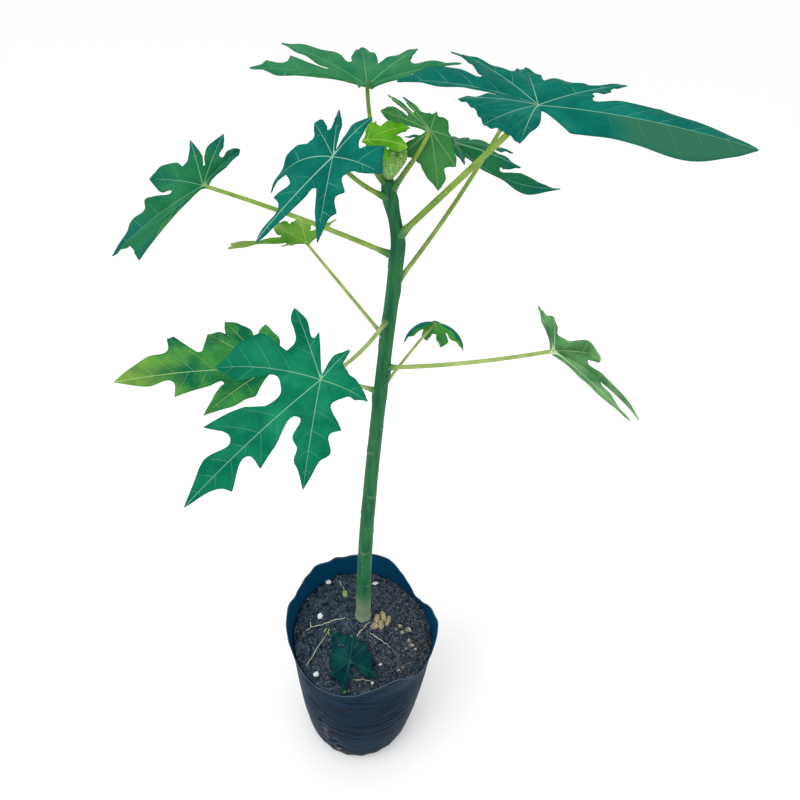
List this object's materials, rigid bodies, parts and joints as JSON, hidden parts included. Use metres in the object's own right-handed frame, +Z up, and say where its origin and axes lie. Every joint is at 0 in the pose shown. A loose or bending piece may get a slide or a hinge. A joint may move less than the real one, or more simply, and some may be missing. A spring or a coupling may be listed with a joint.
{
  "type": "papaya seedling in a poly nursery bag",
  "caption": "Young papaya plant with one slender green stem and long-stalked, deeply lobed leaves, standing in a soil-filled black poly bag with a wavy open rim.",
  "frame": {"origin": "middle of the bag's flat underside, on the surface it stands on", "axes": "+Z up along the stem; -Y towards the side that the picture was taken from, +X to its right"},
  "size_m": [0.2643, 0.1787, 0.5256],
  "materials": {
    "bag_film": "soft black polythene film, satin",
    "soil": "dark crumbly potting soil",
    "stem": "smooth green bark, satin",
    "petiole": "smooth pale green skin, satin",
    "leaf": "leaf, satin above and paler below",
    "young_leaf": "young leaf, satin",
    "bud": "crumpled unopened leaves, soft"
  },
  "bodies": {
    "root": {"bag": "bag_film", "soil": "soil", "stem": "stem", "petiole_low_back": "petiole", "leaf_low_back": "leaf", "petiole_low_left": "petiole", "leaf_low_left": "leaf", "petiole_low_right": "petiole", "leaf_low_right": "leaf", "petiole_back_left": "petiole", "leaf_back_left": "leaf", "petiole_front_left": "petiole", "leaf_front_left": "leaf", "petiole_upper_right_back": "petiole", "leaf_upper_right_back": "leaf", "petiole_upper_left": "petiole", "leaf_upper_left": "leaf", "petiole_upper_right": "petiole", "leaf_upper_right": "leaf", "petiole_top_back": "petiole", "leaf_top_back": "leaf", "petiole_top_left": "petiole", "leaf_top_left": "leaf", "petiole_top_right": "petiole", "leaf_top_right": "leaf", "petiole_crown": "petiole", "leaf_crown": "leaf", "petiole_young": "petiole", "leaf_young": "young_leaf", "growing_tip": "bud"}
  },
  "joints": []
}
